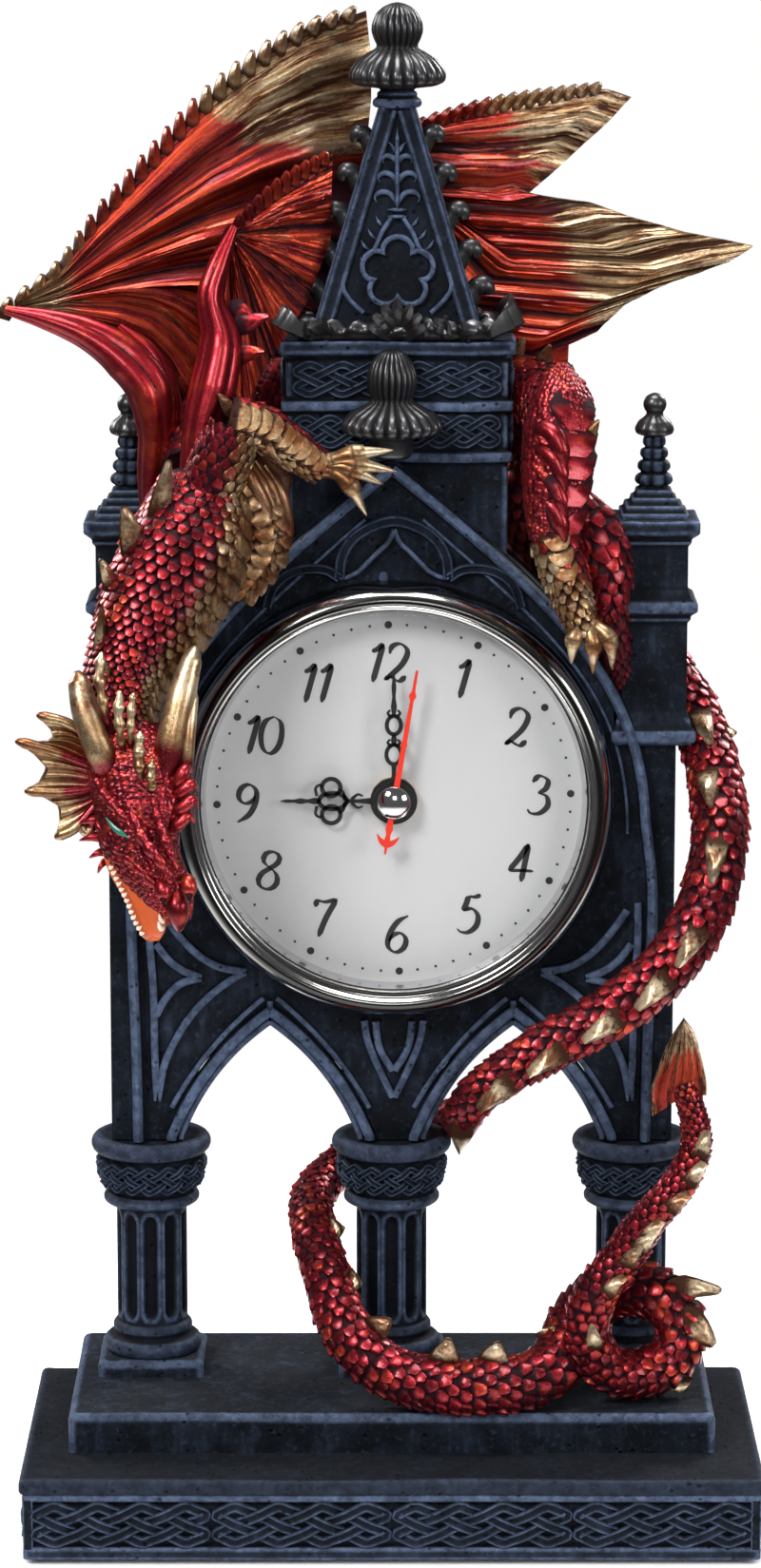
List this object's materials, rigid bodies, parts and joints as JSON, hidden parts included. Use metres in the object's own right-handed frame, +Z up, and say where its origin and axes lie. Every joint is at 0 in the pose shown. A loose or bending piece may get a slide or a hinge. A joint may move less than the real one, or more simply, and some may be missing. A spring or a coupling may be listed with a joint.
{
  "type": "dragon mantel clock",
  "caption": "Gothic clock tower on columns and a stepped base, a scaled dragon wound round it, with a round quartz clock insert.",
  "frame": {"origin": "middle of the base's underside, on the surface that the clock stands on", "axes": "+Z up, -Y out of the dial towards the viewer, +X to the viewer's right"},
  "size_m": [0.1449, 0.074, 0.2953],
  "materials": {
    "painted_stone": "cast resin, dark slate blue with paler dry-brushed edges",
    "pewter": "antique pewter with dark crevices",
    "dragon_red": "metallic red over cast resin scales",
    "dragon_gold": "pale champagne gold with brown washes",
    "chrome": "polished",
    "clear_glass": "clear, domed",
    "silver_ring": "satin",
    "dial_face": "matt pale grey white",
    "black_rubber": "matt",
    "black_plastic": "satin moulded",
    "brass": "turned",
    "battery_jacket": "satin jacket",
    "plated_steel": "plated",
    "copper_wire": "enamelled winding",
    "circuit_green": "lacquered board",
    "hand_black": "gloss black",
    "hand_red": "satin red",
    "white_nylon": "moulded",
    "felt": "short pile"
  },
  "bodies": {
    "clock_case": {"base_felt": "felt", "base_plinth": "painted_stone", "base_slab": "painted_stone", "base_step": "painted_stone", "column_left": "painted_stone", "capital_left": "painted_stone", "column_middle": "painted_stone", "capital_middle": "painted_stone", "column_right": "painted_stone", "capital_right": "painted_stone", "clock_front": "painted_stone", "gable_moulding": "painted_stone", "arch_moulding_left": "painted_stone", "arch_moulding_right": "painted_stone", "turret_left": "painted_stone", "turret_right": "painted_stone", "tower": "painted_stone", "spire": "painted_stone", "crocket_rail_left": "pewter", "crocket_rail_right": "pewter", "leaf_garland": "pewter", "spire_collar": "pewter", "top_finial": "pewter", "gable_finial": "pewter", "dragon_body": "dragon_red", "dragon_neck": "dragon_red", "dragon_head": "dragon_red", "dragon_jaw": "dragon_gold", "dragon_foreleg": "dragon_gold", "dragon_hind_leg": "dragon_red", "wing_left": "dragon_red", "wing_right_fold": "dragon_red", "wing_right": "dragon_gold", "tail_upper": "dragon_red", "tail_lower": "dragon_red", "tail_coil": "dragon_red"},
    "clock_insert": {"bezel": "chrome", "lens": "clear_glass", "reflector_ring": "silver_ring", "dial": "dial_face", "insert_gasket": "black_rubber", "movement_housing": "black_plastic", "movement_cover": "black_plastic", "mounting_nut": "brass", "battery": "battery_jacket", "contact_negative": "plated_steel", "contact_positive": "plated_steel", "motor_stator": "plated_steel", "motor_coil": "copper_wire", "circuit_board": "circuit_green"},
    "minute_arbor": {"cannon_pinion": "brass", "minute_hand": "hand_black"},
    "hour_arbor": {"hour_wheel": "white_nylon", "hour_hand": "hand_black"},
    "motion_arbor": {"minute_wheel": "white_nylon", "set_knob": "white_nylon"},
    "second_arbor": {"second_wheel": "white_nylon", "second_hand": "hand_red"},
    "third_arbor": {"third_wheel": "white_nylon"},
    "rotor_arbor": {"motor_rotor": "plated_steel"}
  },
  "joints": [
    {"name": "insert_slide", "type": "slide", "parent": "clock_case", "child": "clock_insert", "axis": [0, -1, 0], "range_m": [0, 0.008]},
    {"name": "minute_hand_turn", "type": "hinge", "parent": "clock_insert", "child": "minute_arbor", "pos_m": [0.0004, 0.012, 0.142], "axis": [0, 1, 0], "continuous": true},
    {"name": "hour_hand_turn", "type": "hinge", "parent": "clock_insert", "child": "hour_arbor", "pos_m": [0.0004, 0.012, 0.142], "axis": [0, 1, 0], "continuous": true},
    {"name": "set_knob_turn", "type": "hinge", "parent": "clock_insert", "child": "motion_arbor", "pos_m": [-0.00809, 0.012, 0.15049], "axis": [0, 1, 0], "continuous": true},
    {"name": "second_hand_turn", "type": "hinge", "parent": "clock_insert", "child": "second_arbor", "pos_m": [0.0004, 0.012, 0.142], "axis": [0, 1, 0], "continuous": true},
    {"name": "third_wheel_turn", "type": "hinge", "parent": "clock_insert", "child": "third_arbor", "pos_m": [0.0064, 0.012, 0.142], "axis": [0, 1, 0], "continuous": true},
    {"name": "rotor_turn", "type": "hinge", "parent": "clock_insert", "child": "rotor_arbor", "pos_m": [0.01165, 0.012, 0.142], "axis": [0, 1, 0], "continuous": true}
  ],
  "couplings": [
    {"joint": "hour_hand_turn", "follows": "minute_hand_turn", "ratio": 0.083333},
    {"joint": "set_knob_turn", "follows": "minute_hand_turn", "ratio": -0.33333},
    {"joint": "third_wheel_turn", "follows": "second_hand_turn", "ratio": -5},
    {"joint": "rotor_turn", "follows": "second_hand_turn", "ratio": 30}
  ]
}
